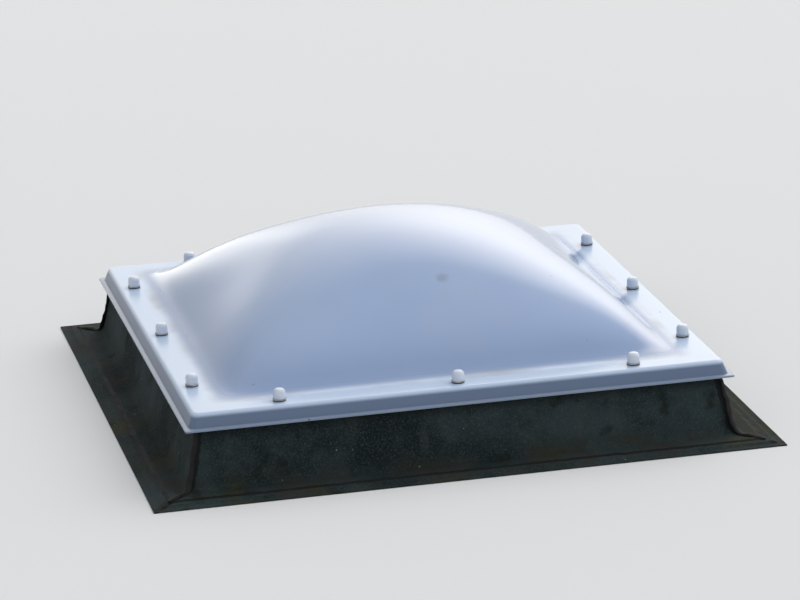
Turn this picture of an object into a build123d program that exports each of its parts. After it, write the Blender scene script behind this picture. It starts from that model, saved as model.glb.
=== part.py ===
from build123d import *
import os
from math import atan, cos, degrees, hypot, pi, sin

# A fixed square roof light: two blown acrylic domes, one over the other, on an insulated curb.
# The rim of the domes is screwed down through both flanges into timber set in the curb,
# each screw under a push-on cap, and roofing felt is dressed up the curb and out over its base.
# Millimetres, +Z up. The origin is the middle of the curb's underside, on the roof deck.
# The front is -Y and the right is +X. All four sides are alike.

# Curb: one moulding with base flange, leaning wall, flat top and a turned-down inner edge
curb_height = 150.0  # roof deck to the curb's top
curb_top_half = 540.0  # middle of the light to the outer edge of the curb's top
wall_lean = 32.0  # how far the wall leans out between its top and its foot
curb_sheet = 4.0  # thickness of the moulding
foot_bend = 25.0  # outer radius where the wall turns into the base flange
top_bend = 7.0  # outer radius along both edges of the curb's top
top_ledge = 70.0  # width of the curb's top
nib_drop = 22.0  # height of the turned-down inner edge
base_flange = 62.0  # flange beyond the foot of the wall
deck_hole = 7.0  # diameter of the fixing holes in the base flange
deck_hole_pitch = 600.0  # two along each side
deck_hole_edge = 20.0  # hole centre to the flange's outer edge

# Inside the curb: timber to screw into, insulation boards and a thin lining
batten_width = 45.0
batten_height = 30.0
arris_gap = 1.0  # the timber's planed corner clears the bend above it by this much
lining_sheet = 3.0
lining_foot = 24.0  # lining turned outwards under the insulation
board_chamfer = 22.0  # lower outer edge of the boards, clear of the curb's foot bend

# Roofing felt on the outside
felt = 5.0  # two layers with their bitumen
felt_stop = 4.0  # felt ends this far below the curb's top
felt_apron = 20.0  # felt on the deck beyond the base flange
felt_step_bend = 5.0  # soft edges where the felt steps down off the flange
seam_bead = 8.0  # half width of the bitumen bead over each mitred corner
seam_rise = 4.5  # how far the bead stands off the felt
seam_gap = 0.3  # between the bead and the felt under it

# Seals and shells, from the curb upwards
gasket_thick = 5.0
gasket_width = 40.0
gasket_edge = 2.0  # gasket's edge inside the curb's edge
inner_sheet = 3.0
inner_flange_out = 3.0  # inner shell's flange beyond the curb's top
spacer_thick = 3.0
spacer_width = 33.0
spacer_edge = 1.0  # spacer's edge inside the curb's edge
outer_sheet = 4.0
shoulder_out = 15.0  # outer shell's flat flange beyond the curb's top
shoulder_bend = 9.0  # outer radius from flange to skirt
skirt_drop = 33.5  # flange top to the bottom of the lip
skirt_lean = 12.0  # how far the skirt leans out
lip_out = 8.0  # turned-out edge at the foot of the skirt
lip_corner = 5.0  # plan radius at the lip
flange_corner = 14.0  # plan radius at the flange and down the skirt
rim_gap = 2.0  # seal edge to the start of the dome's foot

# Free-blown domes: a square pillow, fuller towards its corners, with a soft foot
dome_rise = 220.0  # outer dome over its flange
crown_gap = 28.0  # air between the two domes at the crown
foot_blend = 26.0  # half width of the soft foot, flange to dome
side_fullness = 0.155
corner_fullness = 1.86
fine_stations = 32  # sections over the skin that is seen
plain_stations = 18  # sections over the hidden skins

# Rim fixings: three screws along each side. Small round things are drawn with a few flats
hole_flats = 6
fixing_flats = 8
cap_flats = 8
screw_pitch = 372.0
screw_edge = 15.5  # screw line inside the curb's outer edge
shank = 5.5  # screw diameter
shank_point = 6.0
shank_blunt = 0.4  # radius at the very tip
screw_bite = 26.0  # length of screw in the timber
head_width = 12.0
head_height = 4.5
slip = 1.2  # radial clearance of the screw in shells and seals
pilot_slip = 0.1  # radial clearance of the screw in the timber
washer_width = 26.0
washer_thick = 2.5
cap_base_width = 28.0
cap_base_flange = 2.5
spigot_width = 20.5
spigot_rise = 6.0  # over the base's flange, inside the cap and under the screw's head
cap_width = 25.5
cap_height = 21.0
cap_wall = 2.2
cap_bore = 15.0  # depth of the hollow in the cap
cap_round = 8.5  # radius round the cap's top
cap_steps = 2  # flats over that radius

# Levels and lines that follow
foot_half = curb_top_half + wall_lean
flange_half = foot_half + base_flange
light_half = curb_top_half - top_ledge
screw_half = curb_top_half - screw_edge
lean_rate = wall_lean / (curb_height - curb_sheet)
lean_length = hypot(1, lean_rate)  # a leaning wall's level thickness over its true one
ledge_under = curb_height - curb_sheet
inner_base = curb_height + gasket_thick
inner_top = inner_base + inner_sheet
outer_base = inner_top + spacer_thick
outer_top = outer_base + outer_sheet
head_seat = outer_top + washer_thick + cap_base_flange + spigot_rise
shoulder_half = curb_top_half + shoulder_out
lip_half = shoulder_half + skirt_lean + lip_out
gasket_half = curb_top_half - gasket_edge
spacer_half = curb_top_half - spacer_edge
inner_rim = gasket_half - gasket_width - rim_gap
outer_rim = spacer_half - spacer_width - rim_gap
inner_rise = outer_top + dome_rise - outer_sheet - crown_gap - inner_top
reach = 2 * flange_half  # longer than anything here

sides = {"right": 0, "back": 90, "left": 180, "front": 270}


def write(name, shape):
    """One sub-part to its own file."""
    solids = list(shape.solids())
    whole = solids[0] if len(solids) == 1 else Compound(children=solids)
    export_step(whole, f"parts/{name}.step")


def turned(shape, angle):
    return Rot(0, 0, angle) * shape


def four(shape):
    """The same piece on all four sides, as one list."""
    return [turned(shape, angle) for angle in sides.values()]


def fused(shapes):
    whole = shapes[0]
    for shape in shapes[1:]:
        whole = whole + shape
    return whole


def region(*edges):
    """A flat region in the section plane, x outwards and y up, inside the edges given."""
    return make_face(Curve() + list(edges))


def mitred(section):
    """A section run along the right-hand side and cut at 45 degrees at both ends."""
    run = extrude(Plane.XZ * section, amount=reach, both=True)
    quarter = make_face(Polyline((0, 0), (reach, -reach), (reach, reach), close=True))
    return run & extrude(quarter, amount=reach, both=True)


def square(half, thick, level, corner=0):
    """A square plate round the middle, from its level upwards."""
    outline = RectangleRounded(2 * half, 2 * half, corner) if corner else Rectangle(2 * half, 2 * half)
    return extrude(Pos(0, 0, level) * outline, amount=thick)


def at_screws(shape):
    """Copies of a piece at every rim screw."""
    places = [(screw_half, step * screw_pitch) for step in (-1, 0, 1)]
    return [turned(Pos(x, y, 0) * shape, angle) for angle in sides.values() for x, y in places]


def small_round(flats, *rings):
    """A small round piece with a few flats, from (radius, level) pairs."""
    return loft([Pos(0, 0, level) * RegularPolygon(radius, flats) for radius, level in rings], ruled=True)


def disc(radius, low, high, flats=fixing_flats):
    return extrude(Pos(0, 0, low) * RegularPolygon(radius, flats), amount=high - low)


def screw_hole(clearance):
    return disc(shank / 2 + clearance, 0, 2 * curb_height, hole_flats)


def drilled(shape):
    """Clear holes at all the rim screws, right through."""
    return shape - at_screws(screw_hole(slip))


# Curb

def wall_x(level):
    """Outer face of the curb's leaning wall at a level."""
    return curb_top_half + (curb_height - level) * lean_rate


def curb_line():
    """Outer line of the curb's section, from the base flange up and over to the light opening."""
    return FilletPolyline(
        (flange_half, curb_sheet),
        (foot_half, curb_sheet),
        (curb_top_half, curb_height),
        (light_half, curb_height),
        (light_half, curb_height - nib_drop),
        radius=[foot_bend, top_bend, top_bend],
    )


def make_curb_shell():
    """The moulded curb, with holes for the roof's fixings and for the rim screws."""
    section = make_face(offset(curb_line(), curb_sheet, side=Side.LEFT))
    drill = Cylinder(deck_hole / 2, 4 * curb_sheet)
    row = [Pos(flange_half - deck_hole_edge, step * deck_hole_pitch / 2, 0) * drill for step in (-1, 1)]
    ring = fused(four(mitred(section))) - [hole for drill in row for hole in four(drill)]
    return drilled(ring)


def wall_inside(level):
    return wall_x(level) - curb_sheet * lean_length


def make_batten():
    """Timber under the curb's top, against the inside of the wall."""
    arris = top_bend - curb_sheet + arris_gap
    outer, low = wall_inside(ledge_under), ledge_under - batten_height
    section = region(Polyline(
        (outer - batten_width, ledge_under),
        (outer - arris, ledge_under),
        (outer, ledge_under - arris),
        (outer, low),
        (outer - batten_width, low),
        close=True,
    ))
    pilot = screw_hole(pilot_slip)
    return mitred(section) - [Pos(screw_half, step * screw_pitch, 0) * pilot for step in (-1, 0, 1)]


def lining_x(level):
    """Light-side face of the lining, parallel to the wall and behind the turned-down edge."""
    return light_half + top_bend + (ledge_under - level) * lean_rate


def make_lining():
    """One moulded sheet from the curb's top down the shaft, turned outwards at its foot."""
    thin = lining_sheet * lean_length
    toe = lining_x(0) + lining_foot
    section = region(Polyline(
        (lining_x(ledge_under), ledge_under),
        (lining_x(ledge_under) + thin, ledge_under),
        (lining_x(lining_sheet) + thin, lining_sheet),
        (toe, lining_sheet),
        (toe, 0),
        (lining_x(0), 0),
        close=True,
    ))
    heel = section.vertices().sort_by(Axis.X)[:3].sort_by(Axis.Y)[0]
    return fused(four(mitred(fillet(heel, lining_sheet))))


def make_board():
    """Insulation between lining and wall, rebated round the timber."""
    thin = lining_sheet * lean_length
    low, rebate = lining_sheet, ledge_under - batten_height
    batten_face = wall_inside(ledge_under) - batten_width
    section = region(Polyline(
        (lining_x(ledge_under) + thin, ledge_under),
        (batten_face, ledge_under),
        (batten_face, rebate),
        (wall_inside(rebate), rebate),
        (wall_inside(low + board_chamfer), low + board_chamfer),
        (wall_inside(low) - board_chamfer, low),
        (lining_x(low) + thin, low),
        close=True,
    ))
    return mitred(section)


# Felt

def felt_x(level):
    return wall_x(level) + felt * lean_length


def make_flashing():
    """One side's felt: up the wall, round the foot, over the flange and down to the deck."""
    top = curb_height - felt_stop
    laid = curb_sheet + felt
    edge = flange_half + felt
    line = FilletPolyline(
        (felt_x(top), top),
        (felt_x(laid), laid),
        (edge, laid),
        (edge + curb_sheet, felt),
        (flange_half + felt_apron + felt, felt),
        radius=[foot_bend - felt, felt_step_bend, felt_step_bend],
    )
    end = flange_half + felt_apron + felt
    back = Polyline(line @ 1, (end, 0), (screw_half, 0), (screw_half, top), line @ 0)
    curb_back = Polyline(curb_line() @ 1, (light_half, 0), (flange_half, 0), curb_line() @ 0)
    section = region(line, back) - region(curb_line(), curb_back)
    return mitred(section)


def make_corner_seam():
    """A bitumen bead down the right-hand back corner of the curb and out along the mitre of the felt."""
    top = curb_height - felt_stop
    laid = curb_sheet + felt
    end = flange_half - seam_bead
    route = FilletPolyline(
        (felt_x(top), felt_x(top), top),
        (felt_x(laid), felt_x(laid), laid),
        (end, end, laid),
        radius=foot_bend,
    )
    start = Plane(origin=route @ 0, z_dir=route % 0, x_dir=(1, -1, 0))
    section = make_face(Polyline(
        (seam_bead, 0),
        (seam_bead / 2, seam_rise),
        (-seam_bead / 2, seam_rise),
        (-seam_bead, 0),
        (0, -seam_rise),
        close=True,
    ))
    bead = sweep(start * section, path=route)
    right = make_flashing()
    for piece in (right, turned(right, 90)):
        bead = bead - piece - Pos(seam_gap, seam_gap, seam_gap) * piece
    return bead.solids().sort_by(SortBy.VOLUME)[-1]


# Domes

def soft_ramp(value, soft):
    """Follows value above zero and stays at nought below it, with a smooth turn between."""
    if value <= -soft:
        return 0.0
    if value >= soft:
        return value
    return (value + soft) ** 2 / (4 * soft)


def dome_height(x, y, rim, rise):
    """Height of a blown dome over its flange."""
    foot = rim - foot_blend
    soft = (rim / foot) ** 2 - 1
    along, across = (x / foot) ** 2, (y / foot) ** 2
    fall = soft_ramp(1 - along, soft) * soft_ramp(1 - across, soft)
    return rise * fall * (1 + side_fullness * (along + across) + corner_fullness * along * across)


def dome_point(x, y, rim, rise, level, depth):
    """A point of the dome's skin, or one a sheet's thickness in from it, square to the skin."""
    step = 0.01
    slope_x = (dome_height(x + step, y, rim, rise) - dome_height(x - step, y, rim, rise)) / (2 * step)
    slope_y = (dome_height(x, y + step, rim, rise) - dome_height(x, y - step, rim, rise)) / (2 * step)
    share = depth / hypot(1, slope_x, slope_y)
    return (x + slope_x * share, y + slope_y * share, level + dome_height(x, y, rim, rise) - share)


def cell_facets(a, b, c, d):
    """Two flat triangles over a cell of the grid, split along the diagonal that stands higher."""
    level = 2
    halves = [(a, b, d), (a, d, c)] if a[level] + d[level] > b[level] + c[level] else [(a, b, c), (b, d, c)]
    return [Face(Wire.make_polygon(corners)) for corners in halves]


def dome_skin(rim, rise, level, depth, seen):
    """Narrow strips with curved sides where the dome is seen, and flat facets where it is hidden."""
    stations = fine_stations if seen else plain_stations
    spots = [rim * sin(pi / 2 * (2 * n / stations - 1)) for n in range(stations + 1)]
    rows = [[dome_point(x, y, rim, rise, level, depth) for x in spots] for y in spots]
    if seen:
        lines = [Edge.make_spline(row) for row in rows]
        return [Face.make_surface_from_curves(line, after) for line, after in zip(lines, lines[1:])]
    cells = [cell for row, after in zip(rows, rows[1:]) for cell in zip(row, row[1:], after, after[1:])]
    return [facet for cell in cells for facet in cell_facets(*cell)]


def border_of(skin, rim):
    """The skin's straight outer edges, as one wire."""
    edges = [edge for face in skin for edge in face.edges()]
    middles = [(edge, edge.center()) for edge in edges]
    return Wire([edge for edge, at in middles if max(abs(at.X), abs(at.Y)) > rim * 0.9999])


def domed(plate, rim, rise, level, sheet, seen=False):
    """The plate with a blown dome in place of the middle of its flat flange, one sheet throughout."""
    faces = list(plate.faces())
    for height, depth in ((level, 0), (level - sheet, sheet)):
        skin = dome_skin(rim, rise, level, depth, seen and not depth)
        flat = min(plate.faces().filter_by(Plane.XY), key=lambda face: abs(face.center().Z - height))
        faces.remove(flat)
        faces += skin + [Face(flat.outer_wire(), [border_of(skin, rim)])]
    return Solid(Shell(faces))


def tapered(half_low, rate, corner, bend, low, high):
    """A square block whose sides lean in as they rise, with rounded corners and a bend round its top."""
    foot = Pos(0, 0, low) * Rectangle(2 * half_low, 2 * half_low)
    block = extrude(foot, amount=high - low, taper=degrees(atan(rate)))
    block = fillet([edge for edge in block.edges() if edge.bounding_box().size.Z > 1], corner)
    return fillet(block.faces().sort_by(Axis.Z)[-1].edges(), bend)


def make_outer_dome():
    """Flange, rounded shoulder, leaning skirt and turned-out lip, with the blown dome in the middle."""
    lip_level = outer_top - skirt_drop
    skirt_half = shoulder_half + skirt_lean
    rate = skirt_lean / skirt_drop
    inside = skirt_half - outer_sheet * hypot(1, rate)
    block = tapered(skirt_half, rate, flange_corner, shoulder_bend, lip_level, outer_top)
    block = block + square(lip_half, outer_sheet, lip_level, lip_corner)
    sheet = outer_sheet
    hollow = tapered(inside, rate, flange_corner - sheet, shoulder_bend - sheet, lip_level, outer_base)
    return drilled(domed(block - hollow, outer_rim, dome_rise, outer_top, sheet, seen=True))


def make_inner_dome():
    """The second dome, with a plain flat flange."""
    flange = square(curb_top_half + inner_flange_out, inner_sheet, inner_base, flange_corner)
    return drilled(domed(flange, inner_rim, inner_rise, inner_top, inner_sheet))


def seal_ring(outer, width, level, thick):
    return drilled(square(outer, thick, level) - square(outer - width, thick, level))


# Rim fixings

def make_washer():
    low, high = outer_top, outer_top + washer_thick
    return disc(washer_width / 2, low, high) - screw_hole(slip)


def make_cap_base():
    """The seat under a screw's head, with a spigot that the cap pushes on to."""
    low, high = outer_top + washer_thick, head_seat
    seat = disc(cap_base_width / 2, low, low + cap_base_flange) + disc(spigot_width / 2, low, high)
    return seat - screw_hole(slip)


def make_screw():
    """Round-headed screw with a plain shank and a point."""
    tip = ledge_under - screw_bite
    point = small_round(hole_flats, (shank_blunt, tip), (shank / 2, tip + shank_point))
    stem = disc(shank / 2, tip + shank_point, head_seat, hole_flats)
    return point + stem + disc(head_width / 2, head_seat, head_seat + head_height)


def make_cap():
    """A push-on cap, open below, with a rounded top."""
    foot = outer_top + washer_thick + cap_base_flange
    top, wide = foot + cap_height, cap_width / 2
    turns = [pi / 2 * n / cap_steps for n in range(cap_steps + 1)]
    bend = [(wide - cap_round * (1 - cos(turn)), top - cap_round * (1 - sin(turn))) for turn in turns]
    body = disc(wide, foot, top - cap_round, cap_flats) + small_round(cap_flats, *bend)
    return body - disc(wide - cap_wall, foot, foot + cap_bore, cap_flats)


os.makedirs("parts", exist_ok=True)

write("curb_shell", make_curb_shell())
write("inner_lining", make_lining())
write("curb_gasket", seal_ring(gasket_half, gasket_width, curb_height, gasket_thick))
write("inner_dome", make_inner_dome())
write("shell_spacer", seal_ring(spacer_half, spacer_width, inner_top, spacer_thick))
write("outer_dome", make_outer_dome())

for side, angle in sides.items():
    write(f"screw_batten_{side}", turned(make_batten(), angle))
    write(f"insulation_{side}", turned(make_board(), angle))
    write(f"flashing_{side}", turned(make_flashing(), angle))

write("corner_seams", Compound(children=four(make_corner_seam())))

write("sealing_washers", Compound(children=at_screws(make_washer())))
write("cap_bases", Compound(children=at_screws(make_cap_base())))
write("rim_screws", Compound(children=at_screws(make_screw())))
write("screw_caps", Compound(children=at_screws(make_cap())))
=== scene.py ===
from math import atan, cos, hypot, pi, radians, sin, sqrt, tan

import bmesh
import bpy
from mathutils import Euler, Matrix, Vector, noise


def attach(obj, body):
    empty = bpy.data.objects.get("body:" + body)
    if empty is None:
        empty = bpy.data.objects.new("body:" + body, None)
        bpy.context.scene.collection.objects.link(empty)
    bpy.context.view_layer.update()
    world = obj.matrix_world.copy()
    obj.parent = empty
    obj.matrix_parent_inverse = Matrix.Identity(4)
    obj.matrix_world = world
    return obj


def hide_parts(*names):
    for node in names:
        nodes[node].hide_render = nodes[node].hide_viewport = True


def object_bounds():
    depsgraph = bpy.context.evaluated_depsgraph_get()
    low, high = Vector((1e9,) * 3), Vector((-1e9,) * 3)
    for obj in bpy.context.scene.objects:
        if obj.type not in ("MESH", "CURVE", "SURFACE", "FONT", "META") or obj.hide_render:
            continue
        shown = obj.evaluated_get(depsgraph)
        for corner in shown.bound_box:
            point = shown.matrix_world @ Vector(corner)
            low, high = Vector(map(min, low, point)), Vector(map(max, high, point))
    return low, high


# The roof light's looks: smooth blown shells, felt with its laps and bitumen, round caps.
# Metres, +Z up, the origin on the roof deck under the middle of the light.

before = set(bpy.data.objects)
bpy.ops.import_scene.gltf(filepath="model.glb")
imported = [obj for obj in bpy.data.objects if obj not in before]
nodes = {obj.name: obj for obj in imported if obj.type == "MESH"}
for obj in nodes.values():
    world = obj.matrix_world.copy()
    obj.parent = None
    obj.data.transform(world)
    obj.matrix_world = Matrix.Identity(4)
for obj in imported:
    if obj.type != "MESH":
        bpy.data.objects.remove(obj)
cad_low, cad_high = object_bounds()

# Sizes, as in the construction
curb_top = 0.150
curb_top_half = 0.540
lean_rate = 0.032 / 0.146
felt_thick = 0.005
felt_top = 0.146
felt_laid = 0.009
felt_on_deck = 0.0032
flange_half = 0.634
outer_level = 0.165
outer_rim = 0.504
outer_rise = 0.220
outer_sheet = 0.004
inner_level = 0.158
inner_rim = 0.496
inner_rise = 0.195
inner_sheet = 0.003
foot_blend = 0.026
side_fullness = 0.155
corner_fullness = 1.86
shoulder_half = 0.555
shoulder_bend = 0.009
skirt_half = 0.567
skirt_drop = 0.0335
lip_half = 0.575
lip_corner = 0.005
flange_corner = 0.014
screw_line = 0.5245
screw_pitch = 0.372
washer_foot = 0.165
seat_foot = 0.1675
cap_foot = 0.1700
cap_top = 0.191
washer_radius = 0.0133
seat_radius = 0.014
spigot_radius = 0.01025
cap_radius = 0.01275

# Where the upper felt ends on the flange, and how close two places are to count as one
lap_inner = 0.6215
lap_outer = 0.6230
lap_slack = 0.001
same_place = 1e-6
merge_within = 0.00001

quarter_turns = {"right": 0, "back": 90, "left": 180, "front": 270}


# Modelling

def clear_selection():
    bpy.ops.object.select_all(action="DESELECT")


def select_alone(piece):
    clear_selection()
    piece.select_set(True)
    bpy.context.view_layer.objects.active = piece


def in_place(name):
    """Names the new primitive and puts its place into its mesh."""
    piece = bpy.context.object
    piece.name = name
    bpy.ops.object.transform_apply(location=True, rotation=True, scale=True)
    return piece


def edit(piece):
    select_alone(piece)
    bpy.ops.object.mode_set(mode="EDIT")


def done():
    bpy.ops.object.mode_set(mode="OBJECT")


def choose(kind, test):
    """Selects vertices, edges or faces of the piece in edit mode, by their place or normal."""
    bpy.ops.mesh.select_mode(type=kind)
    bpy.ops.mesh.select_all(action="DESELECT")
    mesh = bpy.context.object.data
    form = bmesh.from_edit_mesh(mesh)
    for part in {"VERT": form.verts, "EDGE": form.edges, "FACE": form.faces}[kind]:
        part.select_set(bool(test(part)))
    bmesh.update_edit_mesh(mesh)


def both_ends(test):
    """A test on edges: both ends lie where the test on points holds."""
    return lambda edge: all(test(end.co) for end in edge.verts)


def edge_at(level):
    """A test on edges: the edge lies flat at this level."""
    return both_ends(lambda at: abs(at.z - level) < same_place)


def face_at(level, up):
    """A test on faces: the face lies flat at this level, and looks up or, with -1, down."""
    def test(face):
        return abs(face.calc_center_median().z - level) < same_place and face.normal.z * up > 0.9
    return test


def draw_out(stations):
    """Extrudes the selected square edge through stations of half width and level."""
    for (half, level), (next_half, next_level) in zip(stations, stations[1:]):
        step = (0, 0, next_level - level)
        bpy.ops.mesh.extrude_edges_move(TRANSFORM_OT_translate={"value": step})
        size = next_half / half
        bpy.ops.transform.resize(value=(size, size, 1), center_override=(0, 0, next_level))


def finish_with(piece, kind, **settings):
    """Adds a modifier and applies it."""
    select_alone(piece)
    modifier = piece.modifiers.new(kind.lower(), kind)
    for name, value in settings.items():
        setattr(modifier, name, value)
    bpy.ops.object.modifier_apply(modifier=modifier.name)


def outwards(piece):
    """Merges what lies in one place and turns all faces outwards."""
    edit(piece)
    bpy.ops.mesh.select_all(action="SELECT")
    bpy.ops.mesh.remove_doubles(threshold=merge_within)
    bpy.ops.mesh.normals_make_consistent(inside=False)
    done()


def smooth(piece, angle):
    """Shades the piece smooth, apart from edges sharper than the angle in degrees."""
    select_alone(piece)
    bpy.ops.object.shade_smooth_by_angle(angle=radians(angle))


def copied(piece, name, place):
    """A copy with its own mesh, moved there in the mesh."""
    copy = piece.copy()
    copy.data = piece.data.copy()
    copy.name = name
    copy.data.transform(place)
    bpy.context.collection.objects.link(copy)
    return copy


def joined(pieces, name):
    clear_selection()
    for piece in pieces:
        piece.select_set(True)
    bpy.context.view_layer.objects.active = pieces[0]
    bpy.ops.object.join()
    pieces[0].name = name
    return pieces[0]


def turn(angle):
    """A turn about the upright axis, in degrees."""
    return Matrix.Rotation(radians(angle), 4, "Z")


def arc(half, level, radius, start, end, steps):
    """Stations along a bend about a centre, its angles in radians from straight up outwards."""
    angles = [start + (end - start) * n / steps for n in range(steps + 1)]
    return [(half + radius * sin(a), level + radius * cos(a)) for a in angles]


# Materials

class Socket:
    """One socket of a material. Sums on it add their Math nodes."""

    def __init__(self, tree, socket=None):
        self.tree = tree
        self.socket = socket

    def node(self, kind, settings, values, output=0):
        """Adds a node: its settings first, then the values or links of its sockets."""
        made = self.tree.nodes.new("ShaderNode" + kind)
        for name, value in settings.items():
            setattr(made, name, value)
        for name, value in values.items():
            if isinstance(value, Socket):
                self.tree.links.new(value.socket, made.inputs[name])
            else:
                made.inputs[name].default_value = value
        return Socket(self.tree, made.outputs[output] if made.outputs else None)

    def maths(self, operation, *values):
        return self.node("Math", {"operation": operation}, dict(enumerate(values)))

    def __add__(self, other):
        return self.maths("ADD", self, other)

    def __radd__(self, other):
        return self.maths("ADD", other, self)

    def __sub__(self, other):
        return self.maths("SUBTRACT", self, other)

    def __rsub__(self, other):
        return self.maths("SUBTRACT", other, self)

    def __mul__(self, other):
        return self.maths("MULTIPLY", self, other)

    def __rmul__(self, other):
        return self.maths("MULTIPLY", other, self)

    def __abs__(self):
        return self.maths("ABSOLUTE", self)


def shade(red, green, blue):
    return (red, green, blue, 1)


def clouds(place, scale, detail=3, roughness=0.55, stretch=(1, 1, 1), shift=(0, 0, 0)):
    """Noise from 0 to 1, mostly near a half."""
    spot = place.node("Mapping", {}, {"Vector": place, "Scale": stretch, "Location": shift})
    values = {"Vector": spot, "Scale": scale, "Detail": detail, "Roughness": roughness}
    return place.node("TexNoise", {}, values, "Fac")


def ramp(value, low, high):
    """0 at low and under, 1 at high and over, smooth between."""
    settings = {"interpolation_type": "SMOOTHSTEP"}
    values = {"Value": value, "From Min": low, "From Max": high}
    return value.node("MapRange", settings, values)


def blend(mask, under, over):
    """One colour over another where the mask is 1."""
    return mask.node("Mix", {"data_type": "RGBA"}, {0: mask, 6: under, 7: over}, 2)


def specks(place, scale, size, share):
    """Small separate spots: only a share of the cells has one."""
    cells = {"Vector": place, "Scale": scale, "Randomness": 1}
    near = place.node("TexVoronoi", {}, cells, "Distance")
    tint = place.node("TexVoronoi", {}, cells, "Color")
    lot = place.node("SeparateColor", {}, {"Color": tint}, "Red")
    return (1 - ramp(near, size * 0.7, size)) * (1 - ramp(lot, share, share + 0.01))


def distance(place, spot):
    return place.node("VectorMath", {"operation": "DISTANCE"}, {0: place, 1: spot}, "Value")


def axis(place, name):
    return place.node("SeparateXYZ", {}, {"Vector": place}, name)


def reach_of(place, soft=0.0):
    """Distance from the middle of the light, measured square, with corners as soft as asked."""
    along = axis(place, "X")
    across = axis(place, "Y")
    return along.maths("SMOOTH_MAX", abs(along), abs(across), soft)


def empty_material(name):
    """A material without nodes, and a start to add them from."""
    made = bpy.data.materials.new(name)
    made.use_nodes = True
    made.node_tree.nodes.clear()
    return made, Socket(made.node_tree)


def finish(name, paint, fixed):
    """Paint gives colour, roughness, bump height, its depth and perhaps a coat.

    What is the same all over the piece comes as fixed values.
    """
    made, start = empty_material(name)
    place = start.node("TexCoord", {}, {}, "Object")
    colour, roughness, height, depth, *coat = paint(place)
    bump = place.node("Bump", {}, {"Height": height, "Distance": depth})
    values = {"Base Color": colour, "Roughness": roughness, "Normal": bump, **fixed}
    if coat:
        values["Coat Weight"] = coat[0]
    shader = place.node("BsdfPrincipled", {}, values)
    place.node("OutputMaterial", {}, {"Surface": shader})
    return made


def opal_acrylic(place):
    """Cloudy blue-grey dome, painted paler where the sheet lies on the curb as light through it, a
    darker tone low down that is partly painted shade, the skirt in painted shade with a painted
    highlight on its lip, and its foot dusty from the roof and in painted shade.
    """
    level = axis(place, "Z")
    reach = reach_of(place, 0.05)
    # Painted light: the flange is painted paler where the sheet lies on the curb, as light through
    # the sheet.
    flange = ramp(reach, 0.480, 0.503)
    drift = clouds(place, 2.2)
    body = blend(ramp(drift, 0.3, 0.7), shade(0.310, 0.420, 0.640), shade(0.345, 0.455, 0.680))
    # Painted shade: the body is darker low down, partly a darker tone and partly painted shade.
    low = 1 - ramp(level, 0.150, 0.260)
    body = blend(low, body, shade(0.240, 0.335, 0.540))
    colour = blend(flange, body, shade(0.510, 0.625, 0.805))
    # Painted shade: the skirt under the shoulder is painted dark.
    skirt_shade = 1 - ramp(level, 0.1545, 0.1625)
    colour = blend(skirt_shade, colour, shade(0.100, 0.150, 0.250))
    # Painted highlight: the lip is painted lighter than the shaded skirt, as lit.
    lip = 1 - ramp(level, 0.1355, 0.1365)
    colour = blend(lip * 0.5, colour, shade(0.330, 0.410, 0.530))
    # Roof dust in the foot, with painted shade in the crease where the dome meets its flange.
    foot = ramp(reach, 0.476, 0.498) * (1 - ramp(reach, 0.500, 0.516))
    dust_and_shade = foot * ramp(clouds(place, 6, detail=4, roughness=0.5), 0.38, 0.75)
    colour = blend(dust_and_shade * 0.50, colour, shade(0.19, 0.165, 0.145))
    wash = ramp(clouds(place, 9, stretch=(1, 1, 0.25)), 0.5, 0.8) * ramp(level, 0.16, 0.20)
    colour = blend(wash * 0.10, colour, shade(0.42, 0.44, 0.47))
    grime = specks(place, 34, 0.10, 0.05)
    colour = blend(grime * 0.75, colour, shade(0.07, 0.07, 0.08))
    ragged = distance(place, (0.030, -0.2825, 0.3157)) + 0.016 * clouds(place, 60)
    smudge = 1 - ramp(ragged, 0.012, 0.027)
    colour = blend(smudge * 0.32, colour, shade(0.13, 0.14, 0.17))
    settled = ramp(reach, 0.462, 0.480)
    roughness = 0.10 + settled * 0.18 + dust_and_shade * 0.10 + wash * 0.06 + grime * 0.3
    coat = 0.35 - settled * 0.26
    return colour, roughness, clouds(place, 6, detail=1), 0.0004, coat


def inner_acrylic(place):
    drift = clouds(place, 3)
    colour = blend(ramp(drift, 0.3, 0.7), shade(0.62, 0.66, 0.71), shade(0.66, 0.69, 0.74))
    return colour, 0.14 + 0.05 * drift, clouds(place, 5, detail=1), 0.0004


def cap_plastic(place):
    """White caps, a little grey round the foot."""
    low = 1 - ramp(axis(place, "Z"), cap_foot, 0.1775)
    grime = low * ramp(clouds(place, 120), 0.35, 0.65)
    colour = blend(grime * 0.55, shade(0.66, 0.73, 0.84), shade(0.32, 0.34, 0.36))
    return colour, 0.22 + grime * 0.3, clouds(place, 60, detail=1), 0.0001


def cap_base_plastic(place):
    worn = ramp(clouds(place, 90), 0.4, 0.7)
    colour = blend(worn, shade(0.42, 0.43, 0.44), shade(0.26, 0.26, 0.27))
    return colour, 0.4 + 0.2 * worn, worn, 0.0001


def rubber(place):
    worn = clouds(place, 80)
    colour = blend(worn, shade(0.012, 0.012, 0.013), shade(0.035, 0.035, 0.036))
    return colour, 0.6 + 0.2 * worn, worn, 0.0001


def steel(place):
    worn = clouds(place, 150)
    colour = blend(worn, shade(0.55, 0.56, 0.57), shade(0.42, 0.42, 0.43))
    return colour, 0.25 + 0.2 * worn, worn, 0.00005


def foam_cells(place, scale):
    return place.node("TexVoronoi", {}, {"Vector": place, "Scale": scale}, "Distance")


def seal_foam(place):
    cells = foam_cells(place, 700)
    colour = blend(cells, shade(0.07, 0.07, 0.075), shade(0.035, 0.035, 0.037))
    return colour, 0.9, cells, 0.0004


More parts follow.
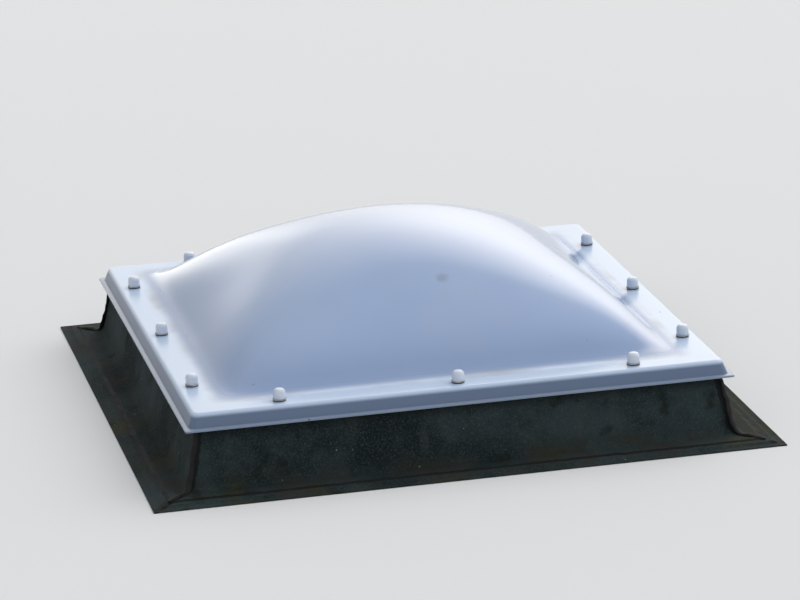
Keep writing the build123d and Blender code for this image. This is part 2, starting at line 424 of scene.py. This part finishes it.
def curb_moulding(place):
    """Pale moulded sheet with its glass fibres showing faintly."""
    strands = clouds(place, 60, stretch=(6, 1, 6)) + clouds(place, 60, stretch=(1, 6, 6))
    fibres = ramp(strands, 0.85, 1.2)
    colour = blend(fibres, shade(0.62, 0.62, 0.58), shade(0.70, 0.70, 0.66))
    return colour, 0.42, fibres, 0.0002


def lining_moulding(place):
    drift = clouds(place, 8)
    colour = blend(drift, shade(0.74, 0.74, 0.72), shade(0.80, 0.80, 0.78))
    return colour, 0.35 + 0.1 * drift, drift, 0.0002


def timber(stretch):
    """Sawn softwood, its grain along one axis."""
    def paint(place):
        grain = clouds(place, 90, detail=4, stretch=stretch)
        rings = clouds(place, 25, detail=2, stretch=stretch)
        colour = blend(ramp(rings, 0.35, 0.65), shade(0.50, 0.31, 0.15), shade(0.38, 0.21, 0.09))
        colour = blend(ramp(grain, 0.5, 0.7) * 0.35, colour, shade(0.24, 0.12, 0.05))
        return colour, 0.75, grain, 0.0005
    return paint


def insulation_foam(place):
    colour = blend(clouds(place, 12), shade(0.66, 0.52, 0.22), shade(0.74, 0.62, 0.32))
    return colour, 0.9, foam_cells(place, 420), 0.0008


def bitumen_bleed(place):
    """Where bitumen has run out: along the lap round the foot, and beside the corners."""
    along, across, level = (axis(place, name) for name in "XYZ")
    reach = reach_of(place)
    ragged = (clouds(place, 30) - 0.5) * 0.016 + (clouds(place, 110) - 0.5) * 0.006
    lap_middle = 0.6225
    lap = 1 - ramp(abs(reach - lap_middle + ragged), 0.003, 0.006)
    corner = 1 - ramp(abs(abs(along) - abs(across)) + ragged, 0.011, 0.016)
    joint = across - 0.17 * along.maths("SIGN", along) - 0.45 * level + 2 * ragged
    on_wall = along.maths("GREATER_THAN", abs(along), abs(across))
    strip = (1 - ramp(abs(joint), 0.003, 0.007)) * on_wall
    return lap.maths("MAXIMUM", lap, lap.maths("MAXIMUM", corner, strip))


def roofing_felt(place):
    """Dark mineral felt: run-off, soil and moss at its foot, bitumen along its laps."""
    level = axis(place, "Z")
    granules = clouds(place, 330, detail=2, roughness=0.7)
    drift = clouds(place, 4.5, detail=6, roughness=0.68)
    colour = blend(ramp(drift, 0.38, 0.64), shade(0.010, 0.017, 0.019), shade(0.032, 0.048, 0.051))
    colour = blend(ramp(granules, 0.50, 0.70) * 0.55, colour, shade(0.082, 0.100, 0.100))
    streaks = clouds(place, 15, detail=4, stretch=(1, 1, 0.10))
    runs = ramp(streaks, 0.52, 0.74) * ramp(level, 0.012, 0.05)
    colour = blend(runs * 0.30, colour, shade(0.075, 0.089, 0.086))
    low = 1 - ramp(level, 0.010, 0.050)
    soil = low * ramp(clouds(place, 9, detail=6, roughness=0.65), 0.46, 0.62)
    colour = blend(soil * 0.60, colour, shade(0.028, 0.023, 0.015))
    cushions = clouds(place, 7, detail=6, roughness=0.62, shift=(3, 1, 0))
    moss = low * ramp(cushions, 0.50, 0.68)
    colour = blend(moss * 0.65, colour, shade(0.036, 0.036, 0.012))
    lichen = ramp(clouds(place, 13, detail=5, shift=(1, 5, 2)), 0.58, 0.68)
    colour = blend(lichen * 0.65, colour, shade(0.010, 0.011, 0.007))
    shadow = ramp(level + 0.02 * drift, 0.110, 0.140)
    colour = blend(shadow * 0.6, colour, shade(0.008, 0.010, 0.010))
    flecks = specks(place, 60, 0.14, 0.05)
    colour = blend(flecks * 0.6, colour, shade(0.24, 0.25, 0.22))
    bleed = bitumen_bleed(place)
    colour = blend(bleed * 0.9, colour, shade(0.008, 0.008, 0.009))
    roughness = 0.93 - bleed * 0.2
    return colour, roughness, granules * (1 - bleed * 0.8) + moss * 0.6, 0.0010


def bitumen(place):
    lumps = clouds(place, 45, detail=3)
    colour = blend(ramp(lumps, 0.4, 0.7), shade(0.004, 0.004, 0.005), shade(0.012, 0.012, 0.012))
    return colour, 0.55 + 0.3 * lumps, lumps, 0.0020


acrylic_sheet = {"IOR": 1.49}
blown_gloss = {"IOR": 1.49, "Coat Roughness": 0.10, "Coat IOR": 1.5}
paints = {
    "opal_acrylic": (opal_acrylic, blown_gloss),
    "inner_acrylic": (inner_acrylic, acrylic_sheet),
    "cap_plastic": (cap_plastic, {}),
    "cap_base_plastic": (cap_base_plastic, {}),
    "washer_rubber": (rubber, {}),
    "gasket_rubber": (rubber, {}),
    "screw_steel": (steel, {"Metallic": 1.0}),
    "spacer_foam": (seal_foam, {}),
    "curb_moulding": (curb_moulding, {}),
    "lining_moulding": (lining_moulding, {}),
    "timber_along_x": (timber((0.04, 1, 1)), {}),
    "timber_along_y": (timber((1, 0.04, 1)), {}),
    "insulation_foam": (insulation_foam, {}),
    "roofing_felt": (roofing_felt, {"Specular IOR Level": 0.12}),
    "bitumen": (bitumen, {"Specular IOR Level": 0.25}),
}
finishes = {name: finish(name, paint, fixed) for name, (paint, fixed) in paints.items()}


def dress(piece, look):
    piece.data.materials.clear()
    piece.data.materials.append(finishes[look])
    for face in piece.data.polygons:
        face.material_index = 0


def stand_for(piece, look, *names):
    """The finished piece takes the place of these nodes of the construction."""
    dress(piece, look)
    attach(piece, "root")
    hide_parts(*names)


# Blown shells

def soft_ramp(value, soft):
    """0 under, the value itself over, and a smooth bend between them."""
    if value <= -soft:
        return 0.0
    if value >= soft:
        return value
    return (value + soft) ** 2 / (4 * soft)


def dome_height(x, y, rim, rise):
    """Height of a blown dome over its flange: a square pillow, fuller towards its corners."""
    foot = rim - foot_blend
    soft = (rim / foot) ** 2 - 1
    along, across = (x / foot) ** 2, (y / foot) ** 2
    fall = soft_ramp(1 - along, soft) * soft_ramp(1 - across, soft)
    return rise * fall * (1 + side_fullness * (along + across) + corner_fullness * along * across)


def blown_sheet(name, rim, rise, level, cells):
    """A flat sheet blown up into its dome, held flat along its rim."""
    bpy.ops.mesh.primitive_grid_add(
        x_subdivisions=cells, y_subdivisions=cells, size=2 * rim, location=(0, 0, level),
    )
    sheet = in_place(name)
    for vertex in sheet.data.vertices:
        x, y = (rim * sin(pi / 2 * at / rim) for at in vertex.co.xy)
        vertex.co = (x, y, level + dome_height(x, y, rim, rise))
    return sheet


def add_flange(sheet, rim, level, edge_half, stations):
    """Carries the sheet out flat to a rounded square edge, then down through the stations."""
    margin = rim + 0.004
    edit(sheet)
    choose("EDGE", lambda edge: edge.is_boundary)
    draw_out([(rim, level), (margin, level)])
    bpy.ops.mesh.select_all(action="DESELECT")
    bpy.ops.mesh.primitive_plane_add(size=2 * edge_half, location=(0, 0, level))
    bpy.ops.mesh.bevel(offset=flange_corner, segments=8, affect="VERTICES")
    bpy.ops.mesh.delete(type="ONLY_FACE")
    choose("EDGE", lambda edge: edge.is_wire)
    draw_out([(edge_half, level)] + stations)
    level_edge = edge_at(level)
    outside = both_ends(lambda at: max(abs(at.x), abs(at.y)) > margin - merge_within)
    choose("EDGE", lambda edge: edge.is_boundary and level_edge(edge) and outside(edge))
    bpy.ops.mesh.bridge_edge_loops()
    done()


def make_outer_dome():
    cells = 96
    dome = blown_sheet("outer_dome_shell", outer_rim, outer_rise, outer_level, cells)
    skirt_rate = (skirt_half - shoulder_half) / skirt_drop
    lean = atan(skirt_rate)
    turned = pi / 2 - lean
    edge_half = shoulder_half - shoulder_bend * tan(turned / 2)
    lip_level = outer_level - skirt_drop + outer_sheet
    lip_start = skirt_half - skirt_rate * outer_sheet
    heel = 0.003
    heel_half = lip_start + heel * tan(turned / 2)
    shoulder = arc(edge_half, outer_level - shoulder_bend, shoulder_bend, 0, turned, 6)[1:]
    inward = arc(heel_half, lip_level + heel, heel, pi + turned, pi, 3)
    stations = shoulder + inward + [(lip_half, lip_level)]
    add_flange(dome, outer_rim, outer_level, edge_half, stations)
    sharpen_lip(dome, lip_level)
    outwards(dome)
    finish_with(dome, "SOLIDIFY", thickness=outer_sheet, offset=-1, use_even_offset=True)
    finish_with(
        dome, "BEVEL", width=0.0007, segments=2, limit_method="ANGLE", angle_limit=radians(50),
    )
    smooth(dome, 40)
    stand_for(dome, "opal_acrylic", "outer_dome")


def in_lip_corner(point, x, y, near, level):
    """Whether a point of the outer dome is on the lip, past near on both sides of this corner."""
    lip_depth = 0.0044
    across, along = x * point.co.x, y * point.co.y
    on_lip = max(across, along) > lip_half - lip_depth
    return min(across, along) > near and on_lip and abs(point.co.z - level) < same_place


def sharpen_lip(dome, level):
    """The lip is cut nearly square, so its corner bends are drawn in towards the corners."""
    lip_outset, corner_share = 0.0203, 1.2
    bend = flange_corner * lip_half / (lip_half - lip_outset)
    size = lip_corner / bend
    near = lip_half - bend * corner_share
    edit(dome)
    for x in (-1, 1):
        for y in (-1, 1):
            choose("VERT", lambda point: in_lip_corner(point, x, y, near, level))
            corner = (x * lip_half, y * lip_half, level)
            bpy.ops.transform.resize(value=(size, size, 1), center_override=corner)
    done()


def make_inner_dome():
    cells = 72
    dome = blown_sheet("inner_dome_shell", inner_rim, inner_rise, inner_level, cells)
    half = curb_top_half + 0.003
    add_flange(dome, inner_rim, inner_level, half - 0.001, [(half, inner_level)])
    outwards(dome)
    finish_with(dome, "SOLIDIFY", thickness=inner_sheet, offset=-1, use_even_offset=True)
    smooth(dome, 40)
    stand_for(dome, "inner_acrylic", "inner_dome")


# Felt

def felt_half(level):
    """Half width of the felt's outer face at a level on the curb's wall."""
    return curb_top_half + (curb_top - level) * lean_rate + felt_thick * hypot(1, lean_rate)


def felt_stations():
    """Down the wall, round the foot, over the flange, off the lap and on to the deck."""
    lean = atan(lean_rate)
    turned = pi / 2 - lean
    bend = 0.020
    corner = felt_half(felt_laid)
    start = felt_laid + bend * tan(turned / 2) * cos(lean)
    wall_steps = 9
    levels = [felt_top + (start - felt_top) * n / wall_steps for n in range(wall_steps)]
    wall = [(felt_half(level), level) for level in levels]
    foot = arc(corner + bend * tan(turned / 2), felt_laid + bend, bend, pi + turned, pi, 6)
    under = felt_laid - 0.0018
    over = [(0.604, felt_laid), (0.614, felt_laid), (lap_inner, felt_laid)]
    over += [(lap_outer, under), (0.631, under)]
    edge = [(0.6375, under), (0.6400, under - 0.001), (0.6425, 0.0045), (0.6450, 0.0034)]
    return wall + foot + over + edge + [(0.652, felt_on_deck), (0.659, felt_on_deck)]


def felt_panel(cells):
    """The right-hand side's felt: a square edge drawn down and out, of which one side is kept."""
    stations = felt_stations()
    half, level = stations[0]
    bpy.ops.mesh.primitive_plane_add(size=2 * half, location=(0, 0, level))
    panel = in_place("felt_panel")
    edit(panel)
    bpy.ops.mesh.select_all(action="SELECT")
    bpy.ops.mesh.delete(type="ONLY_FACE")
    bpy.ops.mesh.select_all(action="SELECT")
    draw_out(stations)
    right_of = 0.3
    choose("FACE", lambda face: face.calc_center_median().x < right_of)
    bpy.ops.mesh.delete(type="FACE")
    choose("EDGE", lambda edge: edge.is_wire)
    bpy.ops.mesh.delete(type="EDGE")
    long_edge = 0.5
    choose("EDGE", lambda edge: abs(edge.verts[0].co.y - edge.verts[1].co.y) > long_edge)
    bpy.ops.mesh.subdivide(number_cuts=cells)
    done()
    outwards(panel)
    return panel


def make_flashings():
    panel = felt_panel(150)
    loose = panel.vertex_groups.new(name="loose_felt")
    least, free_from, free_over = 0.15, 0.010, 0.03
    for vertex in panel.data.vertices:
        above = max(0.0, vertex.co.z - free_from)
        loose.add([vertex.index], min(1.0, least + above / free_over), "REPLACE")
    waves = bpy.data.textures.new("felt_waves", "CLOUDS")
    waves.noise_scale = 0.17
    creases = bpy.data.textures.new("felt_creases", "CLOUDS")
    creases.noise_scale = 0.035
    for side, angle in quarter_turns.items():
        felt = copied(panel, f"flashing_{side}_felt", turn(angle))
        for vertex in felt.data.vertices:
            ragged_lap(vertex)
        for texture, depth in ((waves, 0.0050), (creases, 0.0014)):
            finish_with(
                felt, "DISPLACE", texture=texture, strength=depth, mid_level=0.80,
                texture_coords="LOCAL", vertex_group="loose_felt",
            )
        finish_with(felt, "SOLIDIFY", thickness=0.003, offset=-1, use_even_offset=True)
        keep_in_box(felt)
        smooth(felt, 50)
        stand_for(felt, "roofing_felt", f"flashing_{side}")
    bpy.data.objects.remove(panel)


def ragged_lap(vertex):
    """Moves the upper felt's cut edge a few millimetres in and out."""
    reach = max(abs(vertex.co.x), abs(vertex.co.y))
    if lap_inner - lap_slack < reach < lap_outer + lap_slack:
        shift = 0.004 * noise.noise(vertex.co * 14) + 0.0015 * noise.noise(vertex.co * 60)
        size = (reach + shift) / reach
        vertex.co.x *= size
        vertex.co.y *= size


def keep_in_box(piece):
    """Holds the piece inside the construction's outer sizes."""
    for vertex in piece.data.vertices:
        for n in range(3):
            vertex.co[n] = min(max(vertex.co[n], cad_low[n]), cad_high[n])


def bead_step(move, middle, size):
    """Draws the bead on by one step and swells or thins its new end."""
    bpy.ops.mesh.extrude_region_move(TRANSFORM_OT_translate={"value": move})
    bpy.ops.transform.resize(value=(size, size, size), center_override=middle)


def corner_bead():
    """A bitumen bead down one corner, round the foot and out along the felt's mitre."""
    lean = atan(sqrt(2) * lean_rate)
    turned = pi / 2 - lean
    bend = 0.022
    start = felt_laid + bend * tan(turned / 2) * cos(lean)
    top, low = felt_half(felt_top), felt_half(start)
    bpy.ops.mesh.primitive_circle_add(
        vertices=14, radius=0.008, fill_type="NGON",
        location=(top, top, felt_top), rotation=(0, 0, pi / 4),
    )
    bpy.context.object.scale = (0.40, 0.75, 1)
    bead = in_place("corner_beads")
    edit(bead)
    bpy.ops.mesh.select_all(action="SELECT")
    wall_steps, wall_swell = 20, 1.018
    move, drop = (low - top) / wall_steps, (start - felt_top) / wall_steps
    here, level = top, felt_top
    for step in range(wall_steps):
        here, level = here + move, level + drop
        bead_step((move, move, drop), (here, here, level), wall_swell)
    out = bend * cos(lean) / sqrt(2)
    centre = (low + out, low + out, start + bend * sin(lean))
    bpy.ops.mesh.spin(steps=8, angle=-turned, center=centre, axis=(1, -1, 0))
    apron_steps, apron_thin, end_thin = 7, 0.97, 0.75
    here, end = low + out, flange_half - 0.010
    for step in range(apron_steps):
        move = (end - here) / (apron_steps - step)
        here += move
        thin = end_thin if step > apron_steps - 3 else apron_thin
        bead_step((move, move, 0), (here, here, felt_laid), thin)
    done()
    outwards(bead)
    return bead


def make_corner_seams():
    bead = corner_bead()
    wobble = bpy.data.textures.new("bead_wobble", "CLOUDS")
    wobble.cloud_type = "COLOR"
    wobble.noise_scale = 0.035
    lumps = bpy.data.textures.new("bitumen_lumps", "CLOUDS")
    lumps.noise_scale = 0.014
    beads = []
    for side, angle in quarter_turns.items():
        copy = copied(bead, f"bead_{side}", turn(angle))
        finish_with(
            copy, "DISPLACE", texture=wobble, strength=0.008, mid_level=0.5,
            direction="RGB_TO_XYZ", texture_coords="LOCAL",
        )
        finish_with(
            copy, "DISPLACE", texture=lumps, strength=0.004, mid_level=0.60, texture_coords="LOCAL",
        )
        beads.append(copy)
    bpy.data.objects.remove(bead)
    seams = joined(beads, "corner_bitumen")
    keep_in_box(seams)
    smooth(seams, 60)
    stand_for(seams, "bitumen", "corner_seams")


# Rim fixings

def at_screws(piece, name):
    """Twelve copies of a piece made on the upright axis, three along each side."""
    tightening = 25
    copies = []
    for side, angle in quarter_turns.items():
        for step in (-1, 0, 1):
            screw = Matrix.Translation((screw_line, step * screw_pitch, 0))
            place = turn(angle) @ screw @ turn(step * tightening)
            copies.append(copied(piece, f"{name}_{side}_{step + 2}", place))
    bpy.data.objects.remove(piece)
    return joined(copies, name)


def round_block(name, radius, low, high):
    bpy.ops.mesh.primitive_cylinder_add(
        vertices=32, radius=radius, depth=high - low, location=(0, 0, (low + high) / 2),
    )
    return in_place(name)


def make_caps():
    """Push-on caps: rounded top, open below."""
    crown_bend, wall, hollow = 0.0085, 0.0022, 0.015
    cap = round_block("cap", cap_radius, cap_foot, cap_top)
    edit(cap)
    choose("EDGE", edge_at(cap_top))
    bpy.ops.mesh.bevel(offset=crown_bend, segments=7, affect="EDGES")
    choose("FACE", face_at(cap_foot, -1))
    bpy.ops.mesh.inset(thickness=wall)
    bpy.ops.mesh.extrude_region_move(TRANSFORM_OT_translate={"value": (0, 0, hollow)})
    done()
    finish_with(
        cap, "BEVEL", width=0.0003, segments=1, limit_method="ANGLE", angle_limit=radians(50),
    )
    caps = at_screws(cap, "caps")
    smooth(caps, 40)
    stand_for(caps, "cap_plastic", "screw_caps")


def make_cap_bases():
    """Flanged seats with the spigot that a cap pushes on to."""
    edge_bend, spigot = 0.0008, 0.006
    seat = round_block("cap_seat", seat_radius, seat_foot, cap_foot)
    edit(seat)
    choose("EDGE", edge_at(cap_foot))
    bpy.ops.mesh.bevel(offset=edge_bend, segments=2, affect="EDGES")
    choose("FACE", face_at(cap_foot, 1))
    bpy.ops.mesh.inset(thickness=seat_radius - edge_bend - spigot_radius)
    bpy.ops.mesh.extrude_region_move(TRANSFORM_OT_translate={"value": (0, 0, spigot)})
    done()
    seats = at_screws(seat, "cap_seats")
    smooth(seats, 40)
    stand_for(seats, "cap_base_plastic", "cap_bases")


def make_washers():
    washer = round_block("washer", washer_radius, washer_foot, seat_foot)
    edit(washer)
    choose("FACE", lambda face: abs(face.normal.z) < 0.1)
    bpy.ops.mesh.bevel(offset=0.0006, segments=2, affect="EDGES")
    done()
    washers = at_screws(washer, "rubber_washers")
    smooth(washers, 40)
    stand_for(washers, "washer_rubber", "sealing_washers")


make_outer_dome()
make_inner_dome()
make_flashings()
make_corner_seams()
make_caps()
make_cap_bases()
make_washers()

plain_nodes = {
    "rim_screws": "screw_steel",
    "shell_spacer": "spacer_foam",
    "curb_gasket": "gasket_rubber",
    "curb_shell": "curb_moulding",
    "inner_lining": "lining_moulding",
}
for side in quarter_turns:
    grain = "timber_along_x" if side in ("front", "back") else "timber_along_y"
    plain_nodes[f"insulation_{side}"] = "insulation_foam"
    plain_nodes[f"screw_batten_{side}"] = grain
for name, look in plain_nodes.items():
    dress(nodes[name], look)


# Floor, light and camera

def make_floor():
    clear_selection()
    bpy.ops.mesh.primitive_plane_add(size=60, location=(0, 0, 0))
    floor = in_place("floor")
    made, start = empty_material("floor_paint")
    pale = {"Base Color": shade(0.80, 0.80, 0.80), "Roughness": 0.9}
    paint = start.node("BsdfPrincipled", {}, pale)
    start.node("OutputMaterial", {}, {"Surface": paint})
    floor.data.materials.append(made)


def make_world():
    """A soft, slightly cool sky that the camera and the gloss see as plain white."""
    world = bpy.data.worlds.new("studio")
    world.use_nodes = True
    world.node_tree.nodes.clear()
    start = Socket(world.node_tree)
    kinds = ("Camera", "Glossy", "Transmission")
    rays = [start.node("LightPath", {}, {}, f"Is {kind} Ray") for kind in kinds]
    seen = start.maths("MINIMUM", rays[0] + rays[1] + rays[2], 1)
    lit = start.node("Background", {}, {"Color": shade(0.93, 0.96, 1.0), "Strength": 0.45})
    white = start.node("Background", {}, {"Color": shade(1, 1, 1), "Strength": 1.0})
    mixed = start.node("MixShader", {}, {0: seen, 1: lit, 2: white})
    start.node("OutputWorld", {}, {"Surface": mixed})
    bpy.context.scene.world = world


def make_lamp(name, place, power):
    """A wide, soft, far lamp, aimed at the roof light from that side and not mirrored in it."""
    middle = Vector((0, 0, 0.15))
    lamp = bpy.data.lights.new(name, "SUN")
    lamp.angle = radians(60)
    lamp.energy = power
    holder = bpy.data.objects.new(name, lamp)
    holder.location = place
    holder.visible_glossy = False
    holder.visible_camera = False
    holder.rotation_euler = (middle - Vector(place)).to_track_quat("-Z", "Y").to_euler()
    bpy.context.collection.objects.link(holder)


def make_reflector():
    """A pale screen behind the roof light, seen in its gloss alone.

    It is bright low down on the right, dim on the left, and has a small flare low down between.
    """
    clear_selection()
    bpy.ops.mesh.primitive_plane_add(size=1, location=(0, 6.0, 8.0), rotation=(pi / 2, 0, 0))
    bpy.context.object.scale = (30, 16, 1)
    screen = in_place("reflector")
    made, start = empty_material("reflector_cloth")
    place = start.node("TexCoord", {}, {}, "Object")
    across = axis(place, "X")
    up = axis(place, "Z")
    right = 1 - ramp(abs(across - 3.8), 1.0, 6.0)
    glow = right * ramp(up, -1.0, 4.5) * (1 - ramp(up - 0.9 * across, 2.0, 11.0))
    dim = (1 - ramp(abs(across + 6.5), 1.0, 6.0)) * (1 - ramp(up, 2.0, 9.5))
    colour = blend(dim, shade(0.303, 0.303, 0.303), shade(0.127, 0.134, 0.147))
    colour = blend(glow, colour, shade(1.0, 0.93, 0.83))
    flare = (1 - ramp(abs(across + 0.8), 0.3, 1.4)) * (1 - ramp(abs(up - 0.9), 0.6, 1.9))
    colour = blend(flare * 0.8, colour, shade(0.70, 0.68, 0.64))
    cloth = place.node("Emission", {}, {"Color": colour, "Strength": 3.3})
    place.node("OutputMaterial", {}, {"Surface": cloth})
    screen.data.materials.append(made)
    screen.visible_camera = False
    screen.visible_diffuse = False
    screen.visible_transmission = False
    screen.visible_shadow = False


def make_camera():
    """At the photograph's fitted viewpoint, aimed at the middle of the roof light."""
    dip, heading, roll = radians(13.40), radians(11.40), radians(2.20)
    place = Vector((-1.691, -7.661, 2.5455))
    fitted = Euler((pi / 2 - dip, 0, -heading)).to_matrix() @ Matrix.Rotation(-roll, 3, "Z")
    aim = (Vector((0, 0, 0.19)) - place).normalized()
    swing = (fitted @ Vector((0, 0, -1))).rotation_difference(aim).to_matrix()
    lens = bpy.data.cameras.new("camera")
    lens.lens = 170
    lens.sensor_width = 36
    camera = bpy.data.objects.new("camera", lens)
    camera.matrix_world = Matrix.Translation(place) @ (swing @ fitted).to_4x4()
    bpy.context.collection.objects.link(camera)
    bpy.context.scene.camera = camera


make_floor()
make_world()
make_lamp("overhead_lamp", (3.0, 1.2, 3.8), 1.68)
make_lamp("front_lamp", (0.6, -5.6, 2.6), 0.30)
make_reflector()
make_camera()
bpy.context.scene.view_settings.view_transform = "Standard"
